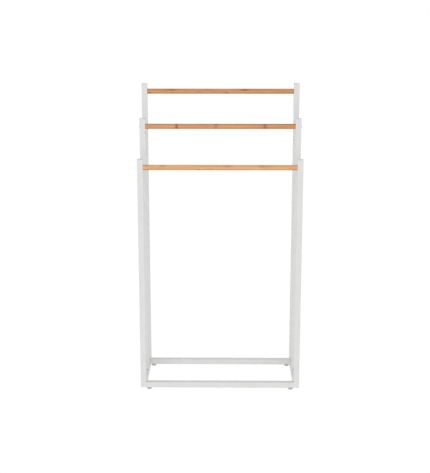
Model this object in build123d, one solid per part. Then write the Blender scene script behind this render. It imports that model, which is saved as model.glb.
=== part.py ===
from build123d import *
import os

# Free-standing three-tier towel rack: a welded rectangular base of square steel tube, three
# pairs of posts bolted up from the base, and a round bamboo rail between each pair.
# Frame: X across the rack, +Y towards the rear (tallest) tier, +Z up. The origin is on the
# floor, under the centre of the base rectangle. All sizes are in millimetres.

# ---- Driving dimensions ----------------------------------------------------------------
RACK_WIDTH = 450.0                 # across the outer faces of the posts
RACK_DEPTH = 205.0                 # front face of the base to its back face
POST_TOPS = {"front": 660.0, "middle": 760.0, "rear": 850.0}    # above the floor, with caps
MIDDLE_SETBACK = 5.0               # middle posts' centre line, behind the centre of the base

TUBE = 16.0                        # square steel tube, outside
TUBE_WALL = 1.0
TUBE_CORNER = 1.6                  # outside corner radius
TUBE_END_BREAK = 0.3               # chamfer round the outside of each cut end of a post

RAIL_DIAMETER = 14.5
RAIL_END_BREAK = 0.4               # chamfer on the rail's end edges
RAIL_DROP = 22.5                   # rail's centre line below the top of its posts

FOOT_HEIGHT = 6.0                  # floor to the underside of the base
FOOT_DIAMETER = 15.0
FOOT_PAD_DIAMETER = 10.0           # flat underside that meets the floor
FOOT_RIM = 1.2                     # straight rim under the base, above the rounded part
FOOT_INBOARD = 8.0                 # foot's centre, inboard of the side bars' inner faces

# ---- Post caps and plugs ---------------------------------------------------------------
CAP_HEAD = 1.4                     # thickness of the cap's head above the tube
CAP_EDGE = 0.6                     # rounding of the head's top edge
CAP_LOWER_BREAK = 0.25             # chamfer round the head's lower edge
CAP_PLUG = 10.0                    # how far the cap goes into the tube
CAP_WALL = 1.4
CAP_RIBS = (2.0, 5.0, 8.0)         # heights of the gripping ribs

PLUG_LENGTH = 22.0                 # threaded plug in the bottom of each post
PLUG_RIBS = (2.0, 8.0, 14.0, 20.0)
RIB_THICKNESS = 1.0
RIB_STAND = 0.4                    # how far a rib stands out from the plug's core
FIT_GAP = 0.05                     # gap all round between a plug or a thread and its hole

# ---- Fasteners -------------------------------------------------------------------------
POST_BOLT = 6.0                    # M6 bolt, from inside the base up into each post
POST_BOLT_LENGTH = 20.0
POST_BOLT_HEAD = 10.5
POST_BOLT_HEAD_HEIGHT = 3.3
POST_BOLT_KEY = 4.0                # hexagon socket, across flats
POST_BOLT_HOLE = 6.6               # clearance hole in the base's top wall
ACCESS_HOLE = 11.6                 # hole in the base's underside that lets the head through

RAIL_SCREW = 5.0                   # M5 screw, through the post into each end of the rail
RAIL_SCREW_REACH = 14.0            # how far it goes into the rail
RAIL_SCREW_HEAD = 9.5
RAIL_SCREW_HEAD_HEIGHT = 1.6       # of the button heads, which stand out from the posts
RAIL_SCREW_KEY = 3.0
FLUSH_TIERS = ("front", "rear")    # their rail screws are countersunk, flush with the posts
COUNTERSUNK_RIM = 0.4              # straight rim of a countersunk head, above its 90 degree cone
COUNTERSUNK_BREAK = 0.25           # chamfer round the top of that rim
RAIL_SCREW_HOLE = 5.4              # clearance hole through both walls of the post

SOCKET_DEPTH = 0.6                 # depth of the key socket, as a share of the head's height
HEAD_ROUND = 0.8                   # rounding of the head's edge, as a share of its height
TIP_BREAK = 0.5                    # chamfer at the tip of the shank

INSERT_DIAMETER = 8.0              # threaded insert in the end of the rail
INSERT_LENGTH = 12.0
INSERT_CORE = 6.8                  # body between the threads that bite into the bamboo
INSERT_PITCH = 2.4
INSERT_THREAD = 1.0                # thickness of each thread ridge
BORE_DEPTH = 18.0                  # bore in the rail, with room past the screw's tip

# ---- Push-in stem of the feet ----------------------------------------------------------
STEM_DIAMETER = 5.6
STEM_HOLE = 6.0
STEM_LENGTH = 5.5
STEM_BARB = 7.0                    # barb that snaps above the wall of the tube
STEM_SLOT = 1.2                    # slit that lets the barb spring inwards

# ---- Fillet welds in the inside corners of the base ------------------------------------
WELD_LEG = 2.8
WELD_HOLLOW = 1.6                  # radius of the bead's hollow face, as a share of its leg
WELD_MARGIN = 2.0                  # corner left unwelded above and below the bead

# ---- Worked out from the driving dimensions --------------------------------------------
SIDES = {"left": -1, "right": 1}
ENDS = {"front": -1, "rear": 1}

BASE_TOP = FOOT_HEIGHT + TUBE
BASE_MIDDLE = FOOT_HEIGHT + TUBE / 2
TUBE_INSIDE = TUBE - 2 * TUBE_WALL
INSIDE_CORNER = TUBE_CORNER - TUBE_WALL
PLUG_RIB_WIDTH = TUBE_INSIDE - 2 * FIT_GAP
PLUG_CORE = PLUG_RIB_WIDTH - 2 * RIB_STAND

SIDE_X = (RACK_WIDTH - TUBE) / 2
END_Y = (RACK_DEPTH - TUBE) / 2
POST_Y = {"front": -END_Y, "middle": MIDDLE_SETBACK, "rear": END_Y}
RAIL_LENGTH = RACK_WIDTH - 2 * TUBE
FOOT_X = RACK_WIDTH / 2 - TUBE - FOOT_INBOARD


# ---- Shared shapes ---------------------------------------------------------------------
def rod(diameter, length):
    """A round bar standing on the XY plane."""
    return extrude(Circle(diameter / 2), amount=length)


def square_bar(side, length, corner=INSIDE_CORNER):
    """A square bar with rounded edges, standing on the XY plane."""
    return extrude(RectangleRounded(side, side, corner), amount=length)


def square_tube(length):
    """A length of the rack's square tube, standing on the XY plane."""
    return square_bar(TUBE, length, TUBE_CORNER) - square_bar(TUBE_INSIDE, length)


def ribbed_plug(length, rib_heights):
    """A square plug, standing on the XY plane, with ribs that grip the inside of the tube."""
    plug = square_bar(PLUG_CORE, length)
    for height in rib_heights:
        plug += Pos(0, 0, height - RIB_THICKNESS / 2) * square_bar(PLUG_RIB_WIDTH, RIB_THICKNESS)
    return plug


def shank(thread, length):
    """A screw's shank, which hangs below the XY plane."""
    bar = Pos(0, 0, -length) * rod(thread - 2 * FIT_GAP, length)
    return chamfer(bar.edges().group_by(Axis.Z)[0], TIP_BREAK)


def key_socket(key, depth):
    """The hexagon cut for the key, which goes down from the XY plane."""
    return Pos(0, 0, -depth) * extrude(RegularPolygon(key / 2, 6, major_radius=False), amount=depth)


def button_screw(thread, length, head_diameter, head_height, key):
    """A button-head screw: its head stands on the XY plane and its shank hangs below."""
    head = rod(head_diameter, head_height)
    head = fillet(head.edges().group_by(Axis.Z)[-1], head_height * HEAD_ROUND)
    socket = Pos(0, 0, head_height) * key_socket(key, head_height * SOCKET_DEPTH)
    return head + shank(thread, length) - socket


def countersunk_head(thread, head_diameter):
    """A 90 degree countersunk head with its flat top on the XY plane, which is also the hole it sits in."""
    root = thread / 2 - FIT_GAP
    cone_depth = head_diameter / 2 - root
    rim = Pos(0, 0, -COUNTERSUNK_RIM) * rod(head_diameter, COUNTERSUNK_RIM)
    cone = Cone(root, head_diameter / 2, cone_depth)
    return rim + Pos(0, 0, -COUNTERSUNK_RIM - cone_depth / 2) * cone


def countersunk_screw(thread, length, head_diameter, key):
    """A countersunk screw: the flat top of its head is on the XY plane and its shank hangs below."""
    head = countersunk_head(thread, head_diameter)
    head = chamfer(head.edges().group_by(Axis.Z)[-1], COUNTERSUNK_BREAK)
    socket = key_socket(key, (head_diameter - thread) / 2 * SOCKET_DEPTH)
    return head + shank(thread, length) - socket


def facing(side):
    """The turn that points a shape's +Z axis outwards on the given side of the rack."""
    return Rot(0, 90 * SIDES[side], 0)


def rail_height(tier):
    return POST_TOPS[tier] - RAIL_DROP


# ---- Base ------------------------------------------------------------------------------
def mitred_bar(length):
    """A base bar along X, centred, with its longer, outer face towards -Y."""
    bar = Pos(-length / 2, 0, 0) * Rot(0, 90, 0) * square_tube(length)
    half = length / 2
    plan = Polyline(
        (-half, -TUBE / 2),
        (half, -TUBE / 2),
        (half - TUBE, TUBE / 2),
        (TUBE - half, TUBE / 2),
        close=True,
    )
    return bar & extrude(make_face(plan), amount=TUBE, both=True)


def base_bars():
    """The four mitred bars, with their holes, each where it lies in the welded base."""
    placed = {
        "front": Pos(0, -END_Y, BASE_MIDDLE) * mitred_bar(RACK_WIDTH),
        "rear": Pos(0, END_Y, BASE_MIDDLE) * Rot(0, 0, 180) * mitred_bar(RACK_WIDTH),
        "left": Pos(-SIDE_X, 0, BASE_MIDDLE) * Rot(0, 0, -90) * mitred_bar(RACK_DEPTH),
        "right": Pos(SIDE_X, 0, BASE_MIDDLE) * Rot(0, 0, 90) * mitred_bar(RACK_DEPTH),
    }
    ground_outline = extrude(RectangleRounded(RACK_WIDTH, RACK_DEPTH, TUBE_CORNER), amount=BASE_TOP)
    bolt_hole = Pos(0, 0, BASE_MIDDLE) * rod(POST_BOLT_HOLE, TUBE)
    access_hole = rod(ACCESS_HOLE, BASE_MIDDLE)
    stem_hole = rod(STEM_HOLE, BASE_MIDDLE)

    post_holes = Locations(*[(x * SIDE_X, y) for x in SIDES.values() for y in POST_Y.values()])
    foot_holes = Locations(*[(x * FOOT_X, y * END_Y) for x in SIDES.values() for y in ENDS.values()])
    cuts = [place * hole for place in post_holes.locations for hole in (bolt_hole, access_hole)]
    cuts += [place * stem_hole for place in foot_holes.locations]
    return {name: (bar & ground_outline) - cuts for name, bar in placed.items()}


def corner_welds():
    """A hollow-faced fillet weld up each inside corner of the base."""
    outline = Line((0, 0), (WELD_LEG, 0))
    outline += RadiusArc((WELD_LEG, 0), (0, WELD_LEG), WELD_LEG * WELD_HOLLOW)
    outline += Line((0, WELD_LEG), (0, 0))
    bead = extrude(make_face(outline), amount=TUBE - 2 * WELD_MARGIN)
    corner = Pos(TUBE - RACK_WIDTH / 2, TUBE - RACK_DEPTH / 2, FOOT_HEIGHT + WELD_MARGIN) * bead
    across = mirror(corner, about=Plane.YZ)
    return [corner, across, mirror(corner, about=Plane.XZ), mirror(across, about=Plane.XZ)]


def foot(side, end):
    """A domed push-in foot, widest where it meets the base, with a split, barbed stem."""
    rim = FOOT_DIAMETER / 2
    pad = FOOT_PAD_DIAMETER / 2
    stem = STEM_DIAMETER / 2
    barb = STEM_BARB / 2
    rim_bottom = FOOT_HEIGHT - FOOT_RIM
    catch = FOOT_HEIGHT + TUBE_WALL + FIT_GAP
    tip = FOOT_HEIGHT + STEM_LENGTH
    profile = Line((0, 0), (pad, 0))
    profile += TangentArc((rim, rim_bottom), (pad, 0), tangent=(0, -1))
    profile += Polyline(
        (rim, rim_bottom),
        (rim, FOOT_HEIGHT),
        (stem, FOOT_HEIGHT),
        (stem, catch),
        (barb, catch),
        (barb, catch + STEM_SLOT),
        (stem, tip),
        (0, tip),
        (0, 0),
    )
    solid = revolve(make_face(Plane.XZ * profile), axis=Axis.Z)
    slit_length = tip - FOOT_HEIGHT
    slit = Pos(0, 0, FOOT_HEIGHT + slit_length / 2) * Box(STEM_SLOT, STEM_BARB, slit_length)
    return Pos(SIDES[side] * FOOT_X, ENDS[end] * END_Y, 0) * (solid - slit)


# ---- Posts -----------------------------------------------------------------------------
def at_post(side, tier, height):
    return Pos(SIDES[side] * SIDE_X, POST_Y[tier], height)


def post(side, tier):
    """A tube that stands on the base, cross-drilled for the rail's screw, which is flush on some tiers."""
    tube = square_tube(POST_TOPS[tier] - CAP_HEAD - BASE_TOP)
    ends = tube.faces().sort_by(Axis.Z)
    rims = ends[0].outer_wire().edges() + ends[-1].outer_wire().edges()
    tube = at_post(side, tier, BASE_TOP) * chamfer(rims, TUBE_END_BREAK)
    drill = Rot(0, 90, 0) * Pos(0, 0, -TUBE) * rod(RAIL_SCREW_HOLE, 2 * TUBE)
    tube -= at_post(side, tier, rail_height(tier)) * drill
    if tier in FLUSH_TIERS:
        tube -= at_rail_screw(side, tier) * countersunk_head(RAIL_SCREW, RAIL_SCREW_HEAD)
    return tube


def post_cap(side, tier):
    """A flush-edged cap with a hollow, ribbed plug that pushes into the top of the tube."""
    head = square_bar(TUBE, CAP_HEAD, TUBE_CORNER)
    head = fillet(head.edges().group_by(Axis.Z)[-1], CAP_EDGE)
    head = chamfer(head.edges().group_by(Axis.Z)[0], CAP_LOWER_BREAK)
    plug = ribbed_plug(CAP_PLUG, CAP_RIBS) - square_bar(PLUG_CORE - 2 * CAP_WALL, CAP_PLUG)
    cap = head + Pos(0, 0, -CAP_PLUG) * plug
    return at_post(side, tier, POST_TOPS[tier] - CAP_HEAD) * cap


def post_plug(side, tier):
    """A ribbed plug with a threaded hole, pressed flush into the bottom of the tube."""
    plug = ribbed_plug(PLUG_LENGTH, PLUG_RIBS) - rod(POST_BOLT, PLUG_LENGTH)
    return at_post(side, tier, BASE_TOP) * plug


def post_bolt(side, tier):
    """A bolt whose head bears on the inside of the base's top wall."""
    bolt = button_screw(POST_BOLT, POST_BOLT_LENGTH, POST_BOLT_HEAD, POST_BOLT_HEAD_HEIGHT, POST_BOLT_KEY)
    return at_post(side, tier, BASE_TOP - TUBE_WALL) * Rot(180, 0, 0) * bolt


# ---- Rails -----------------------------------------------------------------------------
def at_rail_end(side, tier):
    """The centre of the rail's end face, with +Z pointing out of the rail."""
    return Pos(SIDES[side] * RAIL_LENGTH / 2, POST_Y[tier], rail_height(tier)) * facing(side)


def at_rail_screw(side, tier):
    """Where the rail's screw goes into the outer face of the post, with +Z pointing outwards."""
    return at_rail_end(side, tier) * Pos(0, 0, TUBE)


def rail(tier):
    """A turned bamboo rail, bored at both ends for its inserts and screws."""
    bar = rod(RAIL_DIAMETER, RAIL_LENGTH)
    rims = bar.edges().group_by(Axis.Z)
    bar = chamfer(rims[0] + rims[-1], RAIL_END_BREAK)
    bar = Pos(-RAIL_LENGTH / 2, POST_Y[tier], rail_height(tier)) * Rot(0, 90, 0) * bar
    bore = Pos(0, 0, -INSERT_LENGTH) * rod(INSERT_DIAMETER, INSERT_LENGTH)
    bore += Pos(0, 0, -BORE_DEPTH) * rod(RAIL_SCREW_HOLE, BORE_DEPTH)
    return bar - [at_rail_end(side, tier) * bore for side in SIDES]


def rail_insert(side, tier):
    """A threaded insert, flush with the rail's end, with coarse ridges that bite the bamboo."""
    insert = Pos(0, 0, -INSERT_LENGTH) * rod(INSERT_CORE, INSERT_LENGTH)
    depth = INSERT_THREAD
    while depth <= INSERT_LENGTH:
        insert += Pos(0, 0, -depth) * rod(INSERT_DIAMETER - 2 * FIT_GAP, INSERT_THREAD)
        depth += INSERT_PITCH
    insert -= Pos(0, 0, -INSERT_LENGTH) * rod(RAIL_SCREW, INSERT_LENGTH)
    return at_rail_end(side, tier) * insert


def rail_screw(side, tier):
    """A screw from the outer face of the post into the rail's insert."""
    length = TUBE + RAIL_SCREW_REACH
    if tier in FLUSH_TIERS:
        screw = countersunk_screw(RAIL_SCREW, length, RAIL_SCREW_HEAD, RAIL_SCREW_KEY)
    else:
        screw = button_screw(RAIL_SCREW, length, RAIL_SCREW_HEAD, RAIL_SCREW_HEAD_HEIGHT, RAIL_SCREW_KEY)
    return at_rail_screw(side, tier) * screw


# ---- All the pieces --------------------------------------------------------------------
def rack():
    """Every node's name with the list of its solids."""
    nodes = {f"{name}_base_bar": [bar] for name, bar in base_bars().items()}
    nodes["base_corner_welds"] = corner_welds()
    for end in ENDS:
        for side in SIDES:
            nodes[f"{end}_{side}_foot"] = [foot(side, end)]
    for tier in POST_TOPS:
        for side in SIDES:
            nodes[f"{tier}_{side}_post"] = [post(side, tier)]
            nodes[f"{tier}_{side}_post_cap"] = [post_cap(side, tier)]
            nodes[f"{tier}_{side}_post_plug"] = [post_plug(side, tier)]
        nodes[f"{tier}_rail"] = [rail(tier)]
        nodes[f"{tier}_post_bolts"] = [post_bolt(side, tier) for side in SIDES]
        nodes[f"{tier}_rail_inserts"] = [rail_insert(side, tier) for side in SIDES]
        nodes[f"{tier}_rail_screws"] = [rail_screw(side, tier) for side in SIDES]
    return nodes


os.makedirs("parts", exist_ok=True)
for node, pieces in rack().items():
    shape = pieces[0] if len(pieces) == 1 else Compound(children=pieces)
    shape.label = node
    export_step(shape, f"parts/{node}.step")
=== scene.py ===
import math

import bmesh
import bpy
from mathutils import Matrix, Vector, noise


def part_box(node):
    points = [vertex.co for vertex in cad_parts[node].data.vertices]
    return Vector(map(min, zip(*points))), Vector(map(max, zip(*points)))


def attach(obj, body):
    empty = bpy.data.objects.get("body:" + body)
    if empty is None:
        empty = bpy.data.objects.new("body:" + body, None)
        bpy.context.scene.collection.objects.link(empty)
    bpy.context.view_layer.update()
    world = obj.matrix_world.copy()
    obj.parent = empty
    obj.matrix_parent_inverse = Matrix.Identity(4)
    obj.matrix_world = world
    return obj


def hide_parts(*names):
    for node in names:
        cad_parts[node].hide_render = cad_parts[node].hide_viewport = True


# The looks of a free-standing towel rack. The steel, the caps, the feet and the fasteners are the CAD
# model's own shapes with finished materials. The bamboo rails and the weld beads are built here.
# Lengths are in metres.

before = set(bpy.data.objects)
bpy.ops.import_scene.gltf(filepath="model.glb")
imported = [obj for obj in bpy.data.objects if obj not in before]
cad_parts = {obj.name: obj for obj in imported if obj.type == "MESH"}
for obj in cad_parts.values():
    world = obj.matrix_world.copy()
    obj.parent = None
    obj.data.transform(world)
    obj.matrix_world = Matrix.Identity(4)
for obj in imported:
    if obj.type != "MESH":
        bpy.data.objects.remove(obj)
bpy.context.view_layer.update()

TIERS = ("front", "middle", "rear")
SIDES = ("left", "right")
MM = 0.001

# ---- Camera and light --------------------------------------------------------------------
CAMERA_PLACE = (0.0125, -2.738, 1.056)
CAMERA_DOWN = 13.0                 # degrees below the horizon
CAMERA_TURN = 0.573                # degrees to the left of the +Y axis
CAMERA_LENS = 75.0                 # mm
SENSOR = 36.0                      # mm, along the long side

ROOM_LIGHT = 1.16                  # light from every side
ROOM_FRONT = 0.18                  # how much more comes from the front, and less from behind
ROOM_POLES = 0.62                  # how much less comes from straight above and below
ROOM_BELOW = 0.25                  # how much less again comes from straight below

SWEEP_RADIUS = 6.0                 # flat part of the studio's floor
SWEEP_COVE = 2.5                   # radius of the curve from the floor up to the wall
SWEEP_COVE_STEPS = 12
SWEEP_HEIGHT = 12.0
SWEEP_SEGMENTS = 96
SWEEP_GLOW = 1.01                  # strength of the sweep's own even light, which makes it plain white

SOFTBOX_PLACE = (-0.9, -3.2, 1.5)
SOFTBOX_AIM = (0.0, 0.0, 0.45)
SOFTBOX_SIZE = 1.8
SOFTBOX_POWER = 10.0               # watts

BLACK = (0.0, 0.0, 0.0, 1.0)
WHITE = (1.0, 1.0, 1.0, 1.0)

# ---- Tones of the steel and plastic, from 0, black, to 1, white --------------------------
COAT_TONE = 0.64
CAP_TONE = 0.62
SCREW_TONE = 0.62
FOOT_TONE = 0.40
PLUG_TONE = 0.03

# Each metal's bright and dull colour.
ZINC = ((0.70, 0.71, 0.74, 1.0), (0.50, 0.52, 0.55, 1.0))
BRASS = ((0.80, 0.60, 0.26, 1.0), (0.60, 0.42, 0.17, 1.0))

# How square a piece's surface is to the nearest axis, on its flats and on its rounded edges.
FLAT_SQUARENESS = 0.995
EDGE_SQUARENESS = 0.75

# ---- Bamboo rails ------------------------------------------------------------------------
RAIL_SEGMENTS = 96
RAIL_STEP = 2.4 * MM               # between rings along the plain cane
JOINT_STEP = 0.35 * MM             # between rings across a joint of the cane
JOINT_REACH = 12 * MM              # length on each side of a joint that has the finer rings
JOINT_BOW = 1.8 * MM               # how far a joint's line wanders along the rail
JOINT_BOWS_APART = 50              # how far apart two joints' wanderings are taken, so that they differ
JOINT_RELIEF = 0.06 * MM           # what the heights and depths at a joint are shares of
RAIL_WAVER = 0.04 * MM             # unevenness of the turned surface
WAVERS_PER_METRE = 14
END_BREAK = 0.4 * MM
BORE_RADIUS = 4.0 * MM             # bore for the threaded insert
BORE_DEPTH = 18 * MM
STRIP_THICKNESS = 4.9 * MM         # a rail is turned from three strips of cane, glued in a stack
GLUE_LINE = 0.10 * MM
STRIP_SHIFT = 1.7                  # metres of cane between one strip's pattern and the next one's
FIBRE_PARTING = 2.4 * MM           # how far apart a joint pushes the fibres beside it

# Which way each rail's stack of strips faces, in degrees above the front. It is turned so that the darker
# strips lie along the rail's edges above and below, where they are painted shade.
STACK_TURN = {"front": 78.0, "middle": -32.0, "rear": 84.0}

# How dark the cane of each rail's strips is, from 0 to 1: the strip at the back of the stack, the middle
# one and the one that the stack faces with. They are strips -1, 0 and 1. This is partly the strips' own
# tone and partly painted shade, which darkens the rail's upper and lower edges where its round turns from the
# light.
STRIP_TONE_AND_EDGE_SHADE = {"front": (0.65, 0.0, 0.50), "middle": (0.45, 1.0, 0.05), "rear": (0.25, 0.0, 0.62)}

# The joints of the cane: (share of the rail's length from its left end, strip, darkness of its line,
# darkness of the cane beside it, how far that spreads in mm).
CANE_JOINTS = {
    "front": [
        (0.130, 1, 0.05, 0.30, 9),
        (0.550, 1, 0.10, 0.40, 10),
        (0.770, 1, 0.05, 0.30, 9),
        (0.360, -1, 0.40, 0.70, 5),
    ],
    "middle": [
        (0.208, 1, 0.55, 0.90, 5),
        (0.208, 0, 0.60, 1.00, 5),
        (0.474, 0, 0.30, 1.00, 8),
        (0.470, 1, 0.05, 0.45, 6),
        (0.797, 1, 0.40, 0.70, 6),
        (0.795, 0, 0.80, 1.00, 6),
        (0.620, -1, 0.60, 0.90, 5),
    ],
    "rear": [
        (0.165, 1, 0.05, 0.70, 14),
        (0.665, 1, 0.15, 0.95, 12),
        (0.543, -1, 0.25, 0.95, 7),
        (0.014, -1, 0.15, 0.90, 6),
        (0.350, 0, 0.10, 0.25, 6),
    ],
}

JOINT_BROWN = (0.35, 0.120, 0.034)    # cane beside a joint
JOINT_LINE = (0.17, 0.050, 0.012)     # the joint's own line
LINE_SOFT_WIDTH = 1.9 * MM         # of the soft half of a joint's line
LINE_CORE_WIDTH = 0.6 * MM         # of its sharp half
GROOVE_WIDTH = 0.7 * MM            # of the groove that the line lies in
GROOVE_DEPTH = 1.3                 # as a share of JOINT_RELIEF
RIDGE_WIDTH = 1.8 * MM             # of the ridge beside the groove
RIDGE_HEIGHT = 0.9                 # as a share of JOINT_RELIEF
RIDGE_OFFSET = 1.6 * MM            # from the line to the ridge

# Each rail's light cane, darker cane and fibre, and where its pattern starts, in metres along the cane.
BAMBOO_TONES = {
    "front": ((0.82, 0.46, 0.225), (0.67, 0.34, 0.150), (0.47, 0.210, 0.080), 3.1),
    "middle": ((0.70, 0.35, 0.160), (0.54, 0.235, 0.095), (0.36, 0.135, 0.048), 11.7),
    "rear": ((0.69, 0.34, 0.158), (0.53, 0.230, 0.095), (0.35, 0.130, 0.048), 27.3),
}

# ---- Weld beads --------------------------------------------------------------------------
BEAD_LEG = 2.8 * MM
BEAD_HOLLOW = 0.12                 # how far the face is hollow, as a share of the leg
BEAD_PITCH = 1.3 * MM              # from one ripple to the next
BEAD_RIPPLE = 0.30 * MM
BEAD_CHEVRON = 0.55                # how far a ripple's middle is ahead of its ends, in pitches
BEAD_WANDER = 0.35                 # unevenness of the ripples, in pitches
BEAD_THINNING = 0.16               # how much thinner the bead gets in places, as a share of its leg
BEAD_END = 1.8 * MM                # length over which each end of the bead rounds off
BEAD_TIP = 0.1 * MM                # where that rounding starts, so that an end isn't a single point
BEAD_STEPS_PER_RIPPLE = 10
BEAD_FACE_POINTS = 15


# ---- Shader helpers ----------------------------------------------------------------------
class Nodes:
    """Adds nodes to one shader tree. A socket given as an input is linked, and any other value is set."""

    def __init__(self, tree):
        self.tree = tree

    def put(self, socket, value):
        """Links a socket to another node's output, or sets its value."""
        if isinstance(value, bpy.types.NodeSocket):
            self.tree.links.new(value, socket)
        else:
            socket.default_value = value

    def add(self, kind, inputs=(), **settings):
        """A node of the given kind, with its inputs by name or number and its other settings by name."""
        node = self.tree.nodes.new("ShaderNode" + kind)
        for name, value in settings.items():
            setattr(node, name, value)
        for name, value in dict(inputs).items():
            self.put(node.inputs[name], value)
        return node

    def math(self, operation, first, second=0.0):
        return self.add("Math", {0: first, 1: second}, operation=operation).outputs[0]

    def remap(self, value, low, high, to_low=0.0, to_high=1.0):
        """Maps low..high to to_low..to_high, and stays there outside it."""
        inputs = {"Value": value, "From Min": low, "From Max": high, "To Min": to_low, "To Max": to_high}
        return self.add("MapRange", inputs).outputs["Result"]

    def mix(self, share, first, second):
        """A colour between two colours."""
        return self.add("Mix", {0: share, 6: first, 7: second}, data_type="RGBA").outputs[2]

    def place(self, scale=(1.0, 1.0, 1.0)):
        """The piece's own coordinates in metres, stretched by scale."""
        own = self.add("TexCoord").outputs["Object"]
        return self.add("Mapping", {"Vector": own, "Scale": scale}).outputs["Vector"]

    def noise(self, place, scale, detail=2.0, distortion=0.0):
        """Soft random spots from 0 to 1, as many to the metre as scale says."""
        inputs = {"Vector": place, "Scale": scale, "Detail": detail, "Distortion": distortion}
        return self.add("TexNoise", inputs).outputs["Fac"]

    def edges(self):
        """1 on the rounded edges of square pieces that lie along the axes, and 0 on their flats."""
        normal = self.add("NewGeometry").outputs["Normal"]
        flat = self.add("VectorMath", {0: normal}, operation="ABSOLUTE").outputs["Vector"]
        parts = self.add("SeparateXYZ", {"Vector": flat}).outputs
        largest = self.math("MAXIMUM", self.math("MAXIMUM", parts["X"], parts["Y"]), parts["Z"])
        return self.remap(largest, FLAT_SQUARENESS, EDGE_SQUARENESS)

    def bump(self, height, distance, below=None):
        """Relief of the given height in metres, on top of the relief below it."""
        inputs = {"Height": height, "Distance": distance, "Strength": 1.0}
        if below is not None:
            inputs["Normal"] = below
        return self.add("Bump", inputs).outputs["Normal"]


def start_material(name, **uniform):
    """A new material, its node helper and its Principled shader, with the values that don't vary."""
    material = bpy.data.materials.new(name)
    material.use_nodes = True
    shader = material.node_tree.nodes["Principled BSDF"]
    for socket, value in uniform.items():
        shader.inputs[socket.replace("_", " ")].default_value = value
    return material, Nodes(material.node_tree), shader


def grey(value, warmth=0.0):
    """A grey with a little less blue for its warmth."""
    return (value, value, value * (1 - warmth), 1.0)


# ---- Materials of the steel frame --------------------------------------------------------
def powder_coat(name, tone):
    """Off-white powder coat: an orange peel with fine grains, and a thinner, smoother film on the edges,
    whose colour is lightened there by a painted highlight.
    """
    material, nodes, shader = start_material(name, IOR=1.5)
    place = nodes.place()
    clouds = nodes.noise(place, 38.0, detail=3.0)
    grains = nodes.noise(place, 2400.0)
    peel = nodes.noise(place, 620.0, detail=3.0)
    edges = nodes.edges()
    body = nodes.mix(nodes.remap(clouds, 0.35, 0.65), grey(tone * 0.975, 0.014), grey(tone * 1.015, 0.008))
    grained = nodes.mix(nodes.remap(grains, 0.60, 0.76, 0.0, 0.45), body, grey(tone * 0.84, 0.02))
    # Painted shade: the hollows of the orange peel are a little darker.
    peel_hollows_shaded = nodes.mix(nodes.remap(peel, 0.50, 0.34, 0.0, 0.20), grained, grey(tone * 0.92, 0.015))
    # Painted highlight: the rounded edges are made lighter.
    colour = nodes.mix(nodes.math("MULTIPLY", edges, 0.6), peel_hollows_shaded, grey(tone * 1.05, 0.004))
    satin = nodes.remap(peel, 0.3, 0.7, 0.30, 0.44)
    smooth_edge = nodes.math("MULTIPLY", edges, -0.08)
    nodes.put(shader.inputs["Base Color"], colour)
    nodes.put(shader.inputs["Roughness"], nodes.math("ADD", satin, smooth_edge))
    fine = nodes.bump(grains, 0.010 * MM)
    nodes.put(shader.inputs["Normal"], nodes.bump(peel, 0.07 * MM, fine))
    return material


def moulded_plastic(name, tone, warmth, grain_depth, roughness):
    """Injection-moulded plastic with a spark-eroded grain, burnished a little along its edges, which a
    painted highlight also lightens.
    """
    material, nodes, shader = start_material(name, IOR=1.47)
    place = nodes.place()
    grain = nodes.noise(place, 3000.0, detail=3.0)
    flow = nodes.noise(nodes.place((1.0, 1.0, 0.25)), 160.0, detail=2.0, distortion=0.6)
    edges = nodes.edges()
    body = nodes.mix(nodes.remap(flow, 0.3, 0.7), grey(tone * 0.94, warmth), grey(tone * 1.04, warmth))
    pitted = nodes.mix(nodes.remap(grain, 0.55, 0.75, 0.0, 0.5), body, grey(tone * 0.88, warmth))
    # Painted highlight: the rounded edges are made lighter.
    colour = nodes.mix(nodes.math("MULTIPLY", edges, 0.3), pitted, grey(tone * 1.12, warmth))
    rough = nodes.remap(grain, 0.3, 0.7, roughness - 0.07, roughness + 0.07)
    nodes.put(shader.inputs["Base Color"], colour)
    nodes.put(shader.inputs["Roughness"], nodes.math("SUBTRACT", rough, nodes.math("MULTIPLY", edges, 0.1)))
    nodes.put(shader.inputs["Normal"], nodes.bump(grain, grain_depth))
    return material


def plated_metal(name, light, dark, roughness):
    """Plated or machined metal: patchy plating, fine turning lines and small stains."""
    material, nodes, shader = start_material(name, Metallic=1.0)
    place = nodes.place()
    patches = nodes.noise(place, 320.0, detail=4.0, distortion=0.8)
    lines = nodes.noise(nodes.place((1.0, 1.0, 9.0)), 900.0, detail=2.0)
    stains = nodes.noise(place, 1400.0, detail=2.0)
    plating = nodes.mix(nodes.remap(patches, 0.3, 0.7), dark, light)
    spot = tuple(0.55 * channel for channel in dark[:3]) + (1.0,)
    colour = nodes.mix(nodes.remap(stains, 0.66, 0.80, 0.0, 0.6), plating, spot)
    nodes.put(shader.inputs["Base Color"], colour)
    nodes.put(shader.inputs["Roughness"], nodes.remap(patches, 0.3, 0.7, roughness - 0.08, roughness + 0.10))
    nodes.put(shader.inputs["Normal"], nodes.bump(lines, 0.012 * MM))
    return material


# ---- Material of the rails ---------------------------------------------------------------
def shade(colour, factor=1.0):
    """A colour, darker where the factor is under 1."""
    return tuple(factor * channel for channel in colour) + (1.0,)


def strip_nodes(nodes, parts, turn):
    """The number of the glued strip that a point is in, and 1 on the glue lines between strips."""
    forwards = nodes.math("MULTIPLY", parts["Y"], -math.cos(math.radians(turn)))
    upwards = nodes.math("MULTIPLY", parts["Z"], math.sin(math.radians(turn)))
    layers = nodes.math("DIVIDE", nodes.math("ADD", forwards, upwards), STRIP_THICKNESS)
    shifted = nodes.math("ADD", layers, 0.5)
    strip = nodes.math("FLOOR", shifted)
    from_middle = nodes.math("ABSOLUTE", nodes.math("SUBTRACT", nodes.math("FRACT", shifted), 0.5))
    glue_share = GLUE_LINE / STRIP_THICKNESS
    return strip, nodes.remap(from_middle, 0.5 - glue_share, 0.5 - 0.3 * glue_share)


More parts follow.
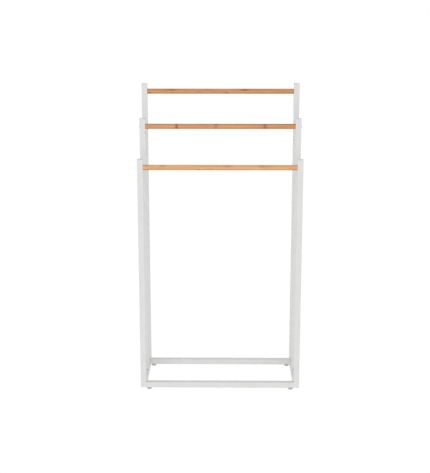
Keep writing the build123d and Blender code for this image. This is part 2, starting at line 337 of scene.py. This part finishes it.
def strip_value(nodes, strip, values):
    """The first of three values on strip -1, the second on strip 0 and the third on strip 1."""
    back, middle, facing = values
    slope = nodes.math("MULTIPLY", strip, (facing - back) / 2)
    bend = nodes.math("MULTIPLY", nodes.math("MULTIPLY", strip, strip), (facing + back) / 2 - middle)
    return nodes.math("ADD", nodes.math("ADD", slope, bend), middle)


def bamboo(tier, light, mid, fibre, seed):
    """Oiled bamboo: fibres along the cane, glued strips of differing tone that also paint shade along the
    rail's upper and lower edges, and the cane's dark joints.
    """
    material, nodes, shader = start_material("bamboo_" + tier, IOR=1.46, Specular_IOR_Level=0.25)
    joint = nodes.add("Attribute", attribute_name="joint").outputs["Fac"]
    halo = nodes.add("Attribute", attribute_name="halo").outputs["Fac"]
    parts = nodes.add("SeparateXYZ", {"Vector": nodes.add("TexCoord").outputs["Object"]}).outputs
    strip, glue = strip_nodes(nodes, parts, STACK_TURN[tier])

    # Each strip has fibres of its own, and they part round a joint of the cane.
    swirl = nodes.noise(nodes.place((0.6, 1.0, 1.0)), 420.0)
    parting = nodes.math("MULTIPLY", halo, FIBRE_PARTING)
    slide = nodes.math("MULTIPLY", nodes.math("SUBTRACT", swirl, 0.5), parting)
    shift = nodes.math("ADD", nodes.math("MULTIPLY", strip, STRIP_SHIFT), seed)
    along = nodes.math("ADD", parts["X"], shift)
    slid_places = {"X": along, "Y": parts["Y"], "Z": nodes.math("ADD", parts["Z"], slide)}
    slid = nodes.add("CombineXYZ", slid_places).outputs["Vector"]

    def streaks(stretch, scale, detail):
        drawn = nodes.add("Mapping", {"Vector": slid, "Scale": (stretch, 1.0, 1.0)}).outputs["Vector"]
        return nodes.noise(drawn, scale, detail=detail)

    bundles = streaks(0.012, 1700.0, 2.0)
    bands = streaks(0.018, 420.0, 3.0)
    drift = streaks(0.25, 26.0, 2.0)
    pores = streaks(0.06, 2600.0, 2.0)
    # Each strip's own tone, which is also painted shade along the rail's upper and lower edges.
    strip_tone_and_shade = strip_value(nodes, strip, STRIP_TONE_AND_EDGE_SHADE[tier])

    ground = nodes.mix(nodes.remap(bands, 0.34, 0.66), shade(light), shade(mid))
    toned_and_edge_shaded = nodes.mix(strip_tone_and_shade, ground, shade(mid, 0.76))
    drifted = nodes.mix(nodes.remap(drift, 0.38, 0.62, 0.0, 0.5), toned_and_edge_shaded, shade(light))
    fibred = nodes.mix(nodes.remap(bundles, 0.50, 0.68, 0.0, 0.75), drifted, shade(fibre))
    pored = nodes.mix(nodes.remap(pores, 0.64, 0.78, 0.0, 0.45), fibred, shade(fibre, 0.55))
    glued = nodes.mix(nodes.math("MULTIPLY", glue, 0.55), pored, shade(fibre, 0.7))

    broken = nodes.remap(bundles, 0.36, 0.58, 0.75, 1.0)
    haloed = nodes.mix(nodes.math("MULTIPLY", halo, broken), glued, shade(JOINT_BROWN))
    colour = nodes.mix(nodes.math("MULTIPLY", joint, broken), haloed, shade(JOINT_LINE))

    nodes.put(shader.inputs["Base Color"], colour)
    rough = nodes.remap(bundles, 0.3, 0.7, 0.46, 0.62)
    nodes.put(shader.inputs["Roughness"], nodes.math("ADD", rough, nodes.math("MULTIPLY", joint, 0.12)))
    pitting = nodes.bump(pores, -0.015 * MM)
    nodes.put(shader.inputs["Normal"], nodes.bump(bundles, -0.04 * MM, pitting))
    return material


# ---- Bamboo rails ------------------------------------------------------------------------
def bell(distance, width):
    """1 at no distance, falling off smoothly to almost 0 at twice the width."""
    return math.exp(-((distance / width) ** 2))


def strip_at(angle, radius, turn):
    """The number of the glued strip at an angle above the rail's front."""
    return round(radius * math.cos(angle - math.radians(turn)) / STRIP_THICKNESS)


def joint_amounts(joints, strip, x, angle, length):
    """How much of the cane joints' dark lines, soft halos and relief a point of the rail has."""
    line = halo = relief = 0.0
    for share, joint_strip, line_dark, halo_dark, spread in joints:
        if strip != joint_strip:
            continue
        bow = noise.noise(Vector((math.cos(angle), math.sin(angle), share * JOINT_BOWS_APART))) * JOINT_BOW
        distance = x - (share - 0.5) * length - bow
        ridge = RIDGE_HEIGHT * bell(distance - RIDGE_OFFSET, RIDGE_WIDTH)
        groove = GROOVE_DEPTH * bell(distance, GROOVE_WIDTH)
        line += line_dark * (0.5 * bell(distance, LINE_SOFT_WIDTH) + 0.5 * bell(distance, LINE_CORE_WIDTH))
        halo += halo_dark * bell(distance, spread * MM)
        relief += line_dark * (ridge - groove)
    return min(line, 1.0), min(halo, 1.0), relief


def ring_places(joints, length):
    """The X of each ring of the rail's surface: even along the cane, and closer together at its joints."""
    half = length / 2
    places = []
    x = END_BREAK - half
    while x < half - END_BREAK:
        places.append(x)
        near = any(abs(x - (share - 0.5) * length) < JOINT_REACH for share, *_ in joints)
        x += JOINT_STEP if near else RAIL_STEP
    places.append(half - END_BREAK)
    return places


def build_rail(tier):
    """A turned bamboo rail with soft ridges at the cane's joints, broken ends and a bore in each end."""
    low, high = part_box(tier + "_rail")
    length = high.x - low.x
    half = length / 2
    radius = (high.z - low.z) / 2 - RAIL_WAVER - JOINT_RELIEF
    joints = CANE_JOINTS[tier]
    mesh = bmesh.new()
    line_layer = mesh.verts.layers.float.new("joint")
    halo_layer = mesh.verts.layers.float.new("halo")

    def ring(x, ring_radius, turned):
        verts = []
        for k in range(RAIL_SEGMENTS):
            angle = 2 * math.pi * k / RAIL_SEGMENTS
            strip = strip_at(angle, ring_radius, STACK_TURN[tier])
            line, halo, relief = joint_amounts(joints, strip, x, angle, length)
            waver = noise.noise(Vector((x * WAVERS_PER_METRE, math.cos(angle), math.sin(angle)))) * RAIL_WAVER
            at = ring_radius + (relief * JOINT_RELIEF + waver if turned else 0.0)
            vert = mesh.verts.new((x, -at * math.cos(angle), at * math.sin(angle)))
            vert[line_layer] = line
            vert[halo_layer] = halo
            verts.append(vert)
        return verts

    def end_rings(side):
        """From the bottom of the bore out to the rim."""
        bore_end = side * (half - BORE_DEPTH)
        rim = radius - END_BREAK
        return [
            ring(bore_end, BORE_RADIUS, False),
            ring(side * half, BORE_RADIUS, False),
            ring(side * half, rim, False),
        ]

    rings = end_rings(-1)
    rings += [ring(x, radius, True) for x in ring_places(joints, length)]
    rings += reversed(end_rings(1))
    for first, second in zip(rings, rings[1:]):
        for k in range(RAIL_SEGMENTS):
            after = (k + 1) % RAIL_SEGMENTS
            mesh.faces.new((first[k], second[k], second[after], first[after]))
    mesh.faces.new(reversed(rings[0]))
    mesh.faces.new(rings[-1])
    return finish_mesh(mesh, tier + "_bamboo_rail", (low + high) / 2, sharp=35)


# ---- Weld beads --------------------------------------------------------------------------
def bead_row(leg, height, ripple_place):
    """The corner and the points across a bead's face at one height, from one wall to the other."""
    row = [(0.0, 0.0, height)]
    for k in range(BEAD_FACE_POINTS):
        share = k / (BEAD_FACE_POINTS - 1)
        across = math.sin(math.pi * share)
        phase = ripple_place / BEAD_PITCH + BEAD_CHEVRON * across
        ripple = BEAD_RIPPLE * (abs(math.sin(math.pi * phase)) - 0.5)
        dent = (BEAD_HOLLOW * leg + ripple) * across
        row.append(((1 - share) * leg - dent, share * leg - dent, height))
    return row


def add_bead(mesh, corner, side_x, side_y, height, ripple_start):
    """One bead up an inside corner, with its corner edge at corner and its ends rounded off."""
    steps = round(height / BEAD_PITCH * BEAD_STEPS_PER_RIPPLE)
    rows = []
    for step in range(steps + 1):
        rise = height * step / steps
        wander = noise.noise(Vector((side_x, side_y, rise / (2 * BEAD_PITCH))))
        from_end = min(1.0, (min(rise, height - rise) + BEAD_TIP) / BEAD_END)
        leg = BEAD_LEG * math.sqrt(1 - (1 - from_end) ** 2) * (1 - BEAD_THINNING * (wander + 1) / 2)
        row = []
        for x, y, z in bead_row(leg, rise, rise + ripple_start + wander * BEAD_WANDER * BEAD_PITCH):
            row.append(mesh.verts.new((corner.x - side_x * x, corner.y - side_y * y, corner.z + z)))
        rows.append(row)
    for first, second in zip(rows, rows[1:]):
        for k in range(len(first)):
            after = (k + 1) % len(first)
            mesh.faces.new((first[k], first[after], second[after], second[k]))
    mesh.faces.new(rows[0])
    mesh.faces.new(reversed(rows[-1]))


def build_welds():
    """Four rippled fillet beads, one up each inside corner of the base."""
    low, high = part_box("base_corner_welds")
    mesh = bmesh.new()
    for side_x, corner_x in ((-1, low.x), (1, high.x)):
        for side_y, corner_y in ((-1, low.y), (1, high.y)):
            ripple_start = (0.3 * side_x + 0.17 * side_y) * BEAD_PITCH
            corner = Vector((corner_x, corner_y, low.z))
            add_bead(mesh, corner, side_x, side_y, high.z - low.z, ripple_start)
    return finish_mesh(mesh, "corner_weld_beads", Vector((0, 0, 0)), sharp=50)


def finish_mesh(mesh, name, place, sharp):
    """Turns a bmesh into an object at place, with outward faces, smooth but for edges sharper than sharp."""
    bmesh.ops.recalc_face_normals(mesh, faces=mesh.faces)
    for face in mesh.faces:
        face.smooth = True
    for edge in mesh.edges:
        if edge.is_manifold and edge.calc_face_angle() > math.radians(sharp):
            edge.smooth = False
    data = bpy.data.meshes.new(name)
    mesh.to_mesh(data)
    mesh.free()
    piece = bpy.data.objects.new(name, data)
    piece.location = place
    bpy.context.scene.collection.objects.link(piece)
    return piece


# ---- Floor, light and camera -------------------------------------------------------------
def build_sweep():
    """A round, even white floor that curves up into a wall. Only the camera sees it, so it casts no light."""
    profile = [(0.0, 0.0), (SWEEP_RADIUS, 0.0)]
    for k in range(1, SWEEP_COVE_STEPS + 1):
        angle = math.radians(90 * k / SWEEP_COVE_STEPS)
        profile.append((SWEEP_RADIUS + SWEEP_COVE * math.sin(angle), SWEEP_COVE * (1 - math.cos(angle))))
    profile.append((SWEEP_RADIUS + SWEEP_COVE, SWEEP_HEIGHT))
    mesh = bmesh.new()
    centre = mesh.verts.new((0.0, 0.0, 0.0))
    rings = []
    for out, up in profile[1:]:
        turns = [2 * math.pi * k / SWEEP_SEGMENTS for k in range(SWEEP_SEGMENTS)]
        rings.append([mesh.verts.new((out * math.cos(turn), out * math.sin(turn), up)) for turn in turns])
    for k in range(SWEEP_SEGMENTS):
        after = (k + 1) % SWEEP_SEGMENTS
        mesh.faces.new((centre, rings[0][k], rings[0][after]))
        for inner, outer in zip(rings, rings[1:]):
            mesh.faces.new((inner[k], outer[k], outer[after], inner[after]))
    sweep = finish_mesh(mesh, "paper_sweep", Vector((0, 0, 0)), sharp=180)
    paper = start_material(
        "sweep_paper",
        Base_Color=BLACK,
        Specular_IOR_Level=0.0,
        Emission_Color=WHITE,
        Emission_Strength=SWEEP_GLOW,
    )[0]
    sweep.data.materials.append(paper)
    sweep.visible_diffuse = False
    sweep.visible_glossy = False
    sweep.visible_shadow = False


def build_room_light():
    """Soft light from every side, a little stronger from the front and weaker from above and below."""
    world = bpy.data.worlds.new("studio")
    world.use_nodes = True
    bpy.context.scene.world = world
    nodes = Nodes(world.node_tree)
    direction = nodes.add("TexCoord").outputs["Generated"]
    parts = nodes.add("SeparateXYZ", {"Vector": direction}).outputs
    front = nodes.math("MULTIPLY", parts["Y"], -ROOM_FRONT)
    poles = nodes.math("MULTIPLY", nodes.math("MULTIPLY", parts["Z"], parts["Z"]), -ROOM_POLES)
    below = nodes.math("MULTIPLY", nodes.math("MINIMUM", parts["Z"], 0.0), ROOM_BELOW)
    strength = nodes.math("ADD", nodes.math("ADD", front, nodes.math("ADD", poles, below)), ROOM_LIGHT)
    background = world.node_tree.nodes["Background"]
    nodes.put(background.inputs["Strength"], strength)
    nodes.put(background.inputs["Color"], WHITE)


def add_softbox(name, place, aim, size, power):
    """A large square softbox that lights the rack but isn't seen itself."""
    light = bpy.data.lights.new(name, "AREA")
    light.shape = "SQUARE"
    light.size = size
    light.energy = power
    box = bpy.data.objects.new(name, light)
    box.location = place
    box.rotation_euler = (Vector(aim) - Vector(place)).to_track_quat("-Z", "Y").to_euler()
    box.visible_camera = False
    bpy.context.scene.collection.objects.link(box)


def build_camera():
    """A camera in front of the rack, a little above it and looking down at its base."""
    camera = bpy.data.objects.new("camera", bpy.data.cameras.new("camera"))
    camera.data.lens = CAMERA_LENS
    camera.data.sensor_width = SENSOR
    camera.location = CAMERA_PLACE
    camera.rotation_euler = (math.radians(90 - CAMERA_DOWN), 0.0, math.radians(CAMERA_TURN))
    bpy.context.scene.collection.objects.link(camera)
    bpy.context.scene.camera = camera


# ---- Put it together ---------------------------------------------------------------------
def dress(names, material):
    """Gives CAD nodes a finished material, and leaves their shape alone."""
    for name in names:
        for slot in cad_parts[name].material_slots:
            slot.material = material


build_camera()
build_room_light()
build_sweep()
add_softbox("front_softbox", SOFTBOX_PLACE, SOFTBOX_AIM, SOFTBOX_SIZE, SOFTBOX_POWER)
bpy.context.scene.view_settings.view_transform = "Standard"

coat = powder_coat("powder_coat_white", COAT_TONE)
screw_paint = powder_coat("screw_paint_white", SCREW_TONE)
cap_plastic = moulded_plastic("cap_plastic_white", CAP_TONE, 0.01, 0.012 * MM, 0.50)
foot_plastic = moulded_plastic("foot_plastic_grey", FOOT_TONE, 0.0, 0.02 * MM, 0.55)
plug_plastic = moulded_plastic("plug_plastic_black", PLUG_TONE, 0.0, 0.02 * MM, 0.50)
zinc_plate = plated_metal("zinc_plate", *ZINC, 0.32)
insert_brass = plated_metal("insert_brass", *BRASS, 0.34)

dress([name + "_base_bar" for name in ("front", "rear", "left", "right")], coat)
dress([f"{end}_{side}_foot" for end in ("front", "rear") for side in SIDES], foot_plastic)
for tier in TIERS:
    dress([f"{tier}_{side}_post" for side in SIDES], coat)
    dress([f"{tier}_{side}_post_cap" for side in SIDES], cap_plastic)
    dress([f"{tier}_{side}_post_plug" for side in SIDES], plug_plastic)
    dress([tier + "_post_bolts"], zinc_plate)
    dress([tier + "_rail_inserts"], insert_brass)
    dress([tier + "_rail_screws"], screw_paint)

for tier in TIERS:
    cane = build_rail(tier)
    cane.data.materials.append(bamboo(tier, *BAMBOO_TONES[tier]))
    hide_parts(tier + "_rail")
    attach(cane, "root")

beads = build_welds()
beads.data.materials.append(coat)
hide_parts("base_corner_welds")
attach(beads, "root")
